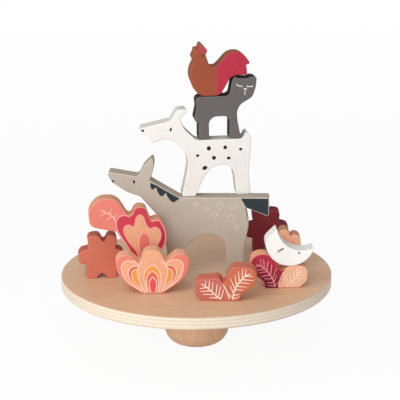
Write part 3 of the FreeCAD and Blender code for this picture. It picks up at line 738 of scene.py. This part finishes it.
def print_moon():
    """A closed eye with lashes and a small nose."""
    ink = Print("moon", "cream_paint")
    ink.stroke("charcoal", [(-5.0, 27.9), (-3.1, 28.9), (-0.6, 30.2)], 0.8, ends=(0.6, 0.8))
    lashes = [(-4.3, 28.2), (-3.1, 28.8), (-1.9, 29.5), (-0.9, 30.0)]
    for across, up in lashes:
        ink.stroke("charcoal", [(across, up), (across + 0.1, up - 1.3)], 0.6, ends=(1.0, 0.5))
    ink.stroke("charcoal", [(9.6, 27.0), (10.4, 26.5), (10.9, 25.6)], 0.9, ends=(0.5, 1.0))
    ink.done()


def print_peach_flower():
    """A pink line inside the edge, with short red dashes on it."""
    ink = Print("peach_flower", "peach_paint")
    inner_line = [(-1.6, 26.6), (0.0, 25.4), (1.6, 23.6), (3.2, 22.5), (5.6, 22.6), (7.2, 21.4),
                  (8.6, 19.5), (8.8, 14.0), (6.2, 7.5), (0.0, 4.8), (-6.2, 7.5), (-8.8, 14.0),
                  (-8.4, 19.8), (-6.2, 22.2), (-4.2, 22.6), (-3.0, 24.6)]
    dashes = [[(-0.5, 25.7), (1.4, 24.0)], [(2.3, 23.6), (3.4, 22.8)], [(5.6, 22.3), (7.4, 21.0)]]
    ink.stroke("pale_rose", inner_line, 1.0, closed=True)
    for dash in dashes:
        ink.stroke("comb_red", dash, 0.55, 2, ends=(0.6, 0.8))
    ink.done()


wear("board", board_finish())
wear("foot", foot_finish())
wear("foot_dowel", foot_finish())
# The donkey, dog, rust leaf, burgundy leaf and moon are one paint all over; each of their edge
# colours is a slightly darker copy of the face colour, as painted shade on the sawn edges.
wear("donkey", painted_figure("donkey", (189, 179, 166), (178, 167, 151)))
wear("dog", painted_figure("dog", (238, 235, 232), (221, 218, 212), edge_highlight=0.05))
# The cat's edge colour is darkened nearly to black as painted shade, for the deep shadows at its
# neck, its legs and under the rooster.
wear("cat", painted_figure("cat", (103, 98, 97), (46, 43, 42), edge_highlight=0.5))
wear("rooster", painted_figure("rooster", rooster_face, (146, 88, 61)))
wear("red_flower", painted_figure("red_flower", red_flower_face, (218, 158, 128), lip=0.14))
wear("rust_leaf", painted_figure("rust_leaf", (206, 116, 95), (187, 103, 88)))
wear("burgundy_leaf", painted_figure("burgundy_leaf", (144, 54, 66), (124, 48, 58)))
wear("lotus", painted_figure("lotus", lotus_face, (233, 176, 142)))
wear("orange_leaf_pair", painted_figure("orange_leaf_pair", orange_pair_face, (203, 113, 92)))
wear("red_leaf_pair", painted_figure("red_leaf_pair", red_pair_face, (228, 165, 131)))
wear("peach_flower", painted_figure("peach_flower", (250, 190, 154), (208, 152, 122)))
wear("moon", painted_figure("moon", (249, 248, 246), (238, 237, 231), edge_highlight=0.0))

print_donkey()
print_dog()
print_cat()
print_rooster()
print_red_flower()
print_lotus()
print_orange_pair()
print_red_pair()
print_moon()
print_peach_flower()


# The floor reaches this far and lies this far below the foot. Within the first distance from the
# foot the camera sees it as plain white for this share, and as a lit floor, which can hold a
# shadow, for the rest. Beyond the second distance it sees plain white alone (distances in m).
FLOOR_REACH = 6.0
FLOOR_DROP = 0.0002
SHADOW_WHOLE = 0.4
SHADOW_GONE = 1.6
GLOW_SHARE = 0.94

# Each lamp's place (m), the side of its soft box (m) and its power (W). All look at one point.
LAMPS = {
    "key": ((-0.4, -0.75, 0.85), 1.0, 7.0),
    "front": ((-0.05, -1.2, 0.12), 0.9, 4.9),
    "left": ((-1.1, -0.45, 0.3), 0.8, 2.6),
}
LIT_POINT = Vector((0.0, 0.0, 0.12))
WORLD_FILL = 0.42


def add_camera():
    """The photograph's place and lens, measured from the board's top centre."""
    away = 1083.0
    raised = math.radians(18.85)
    aim_up = math.radians(2.76)
    roll = math.radians(-0.47)
    # The picture's side, the lens and the line down its middle, in dots of the picture.
    picture = 400.0
    focal_length = 1456.7
    middle_line = 195.66
    film = 36.0
    back = Vector((0.0, -math.cos(raised), math.sin(raised)))
    forward = -back
    right = Vector((1.0, 0.0, 0.0))
    upward = right.cross(forward)
    look = math.cos(aim_up) * forward + math.sin(aim_up) * upward
    upward = -math.sin(aim_up) * forward + math.cos(aim_up) * upward
    side = math.cos(roll) * right + math.sin(roll) * upward
    top = -math.sin(roll) * right + math.cos(roll) * upward
    lens = bpy.data.cameras.new("camera")
    lens.sensor_width = film
    lens.lens = film * focal_length / picture
    lens.shift_x = (picture / 2.0 - middle_line) / picture
    lens.clip_start = 0.05
    lens.clip_end = 20.0
    camera = bpy.data.objects.new("camera", lens)
    turn = Matrix((side, top, -look)).transposed().to_4x4()
    spot = back * away * MM + Vector((0.0, 0.0, BOARD_TOP * MM))
    camera.matrix_world = Matrix.Translation(spot) @ turn
    bpy.context.scene.collection.objects.link(camera)
    bpy.context.scene.camera = camera


def seen_directly(tree):
    """1 for rays from the camera, and in metal or glass; 0 for light that falls on the object."""
    path = tree.nodes.new("ShaderNodeLightPath")
    first = tree.nodes.new("ShaderNodeMath")
    first.operation = "MAXIMUM"
    tree.links.new(path.outputs["Is Camera Ray"], first.inputs[0])
    tree.links.new(path.outputs["Is Glossy Ray"], first.inputs[1])
    second = tree.nodes.new("ShaderNodeMath")
    second.operation = "MAXIMUM"
    tree.links.new(first.outputs[0], second.inputs[0])
    tree.links.new(path.outputs["Is Transmission Ray"], second.inputs[1])
    return second.outputs[0]


def floor_finish():
    """White where the camera sees it, but for a little of the shadow near the foot."""
    material = bpy.data.materials.new("pale_floor")
    material.use_nodes = True
    tree = material.node_tree
    tree.nodes.clear()
    output = tree.nodes.new("ShaderNodeOutputMaterial")
    plain = tree.nodes.new("ShaderNodeBsdfDiffuse")
    plain.inputs["Color"].default_value = (0.86, 0.86, 0.86, 1.0)
    glow = tree.nodes.new("ShaderNodeEmission")
    glow.inputs["Color"].default_value = (1.0, 1.0, 1.0, 1.0)
    glow.inputs["Strength"].default_value = 1.0
    place = tree.nodes.new("ShaderNodeTexCoord")
    away = tree.nodes.new("ShaderNodeVectorMath")
    away.operation = "LENGTH"
    tree.links.new(place.outputs["Object"], away.inputs[0])
    fade = tree.nodes.new("ShaderNodeMapRange")
    fade.inputs["From Min"].default_value = SHADOW_WHOLE
    fade.inputs["From Max"].default_value = SHADOW_GONE
    fade.inputs["To Min"].default_value = GLOW_SHARE
    fade.inputs["To Max"].default_value = 1.0
    tree.links.new(away.outputs["Value"], fade.inputs["Value"])
    share = tree.nodes.new("ShaderNodeMath")
    share.operation = "MULTIPLY"
    tree.links.new(seen_directly(tree), share.inputs[0])
    tree.links.new(fade.outputs[0], share.inputs[1])
    mix = tree.nodes.new("ShaderNodeMixShader")
    tree.links.new(share.outputs[0], mix.inputs[0])
    tree.links.new(plain.outputs[0], mix.inputs[1])
    tree.links.new(glow.outputs[0], mix.inputs[2])
    tree.links.new(mix.outputs[0], output.inputs["Surface"])
    return material


def add_floor():
    """A white floor that keeps a soft shadow under the foot and fades into the backdrop."""
    grid = bmesh.new()
    bmesh.ops.create_grid(grid, x_segments=1, y_segments=1, size=FLOOR_REACH,
                          matrix=Matrix.Translation((0.0, 0.0, -FLOOR_DROP)))
    mesh = bpy.data.meshes.new("floor")
    grid.to_mesh(mesh)
    grid.free()
    mesh.materials.append(floor_finish())
    floor = bpy.data.objects.new("floor", mesh)
    bpy.context.scene.collection.objects.link(floor)


def add_world():
    """A white backdrop where the camera looks, and a plain grey fill on the object."""
    world = bpy.data.worlds.new("studio")
    world.use_nodes = True
    tree = world.node_tree
    tree.nodes.clear()
    output = tree.nodes.new("ShaderNodeOutputWorld")
    fill = tree.nodes.new("ShaderNodeBackground")
    fill.inputs["Color"].default_value = (1.0, 0.99, 0.97, 1.0)
    fill.inputs["Strength"].default_value = WORLD_FILL
    white = tree.nodes.new("ShaderNodeBackground")
    white.inputs["Color"].default_value = (1.0, 1.0, 1.0, 1.0)
    white.inputs["Strength"].default_value = 1.0
    mix = tree.nodes.new("ShaderNodeMixShader")
    tree.links.new(seen_directly(tree), mix.inputs[0])
    tree.links.new(fill.outputs[0], mix.inputs[1])
    tree.links.new(white.outputs[0], mix.inputs[2])
    tree.links.new(mix.outputs[0], output.inputs["Surface"])
    bpy.context.scene.world = world


def add_lamp(name, spot, size, power):
    """A soft box at spot that shines on the middle of the object."""
    lamp = bpy.data.lights.new(name, "AREA")
    lamp.shape = "SQUARE"
    lamp.size = size
    lamp.energy = power
    holder = bpy.data.objects.new(name, lamp)
    look = LIT_POINT - Vector(spot)
    holder.rotation_euler = look.to_track_quat("-Z", "Y").to_euler()
    holder.location = spot
    bpy.context.scene.collection.objects.link(holder)


add_camera()
add_floor()
add_world()
for lamp_name, (lamp_spot, box_side, power) in LAMPS.items():
    add_lamp(lamp_name, lamp_spot, box_side, power)
bpy.context.scene.view_settings.view_transform = "Standard"
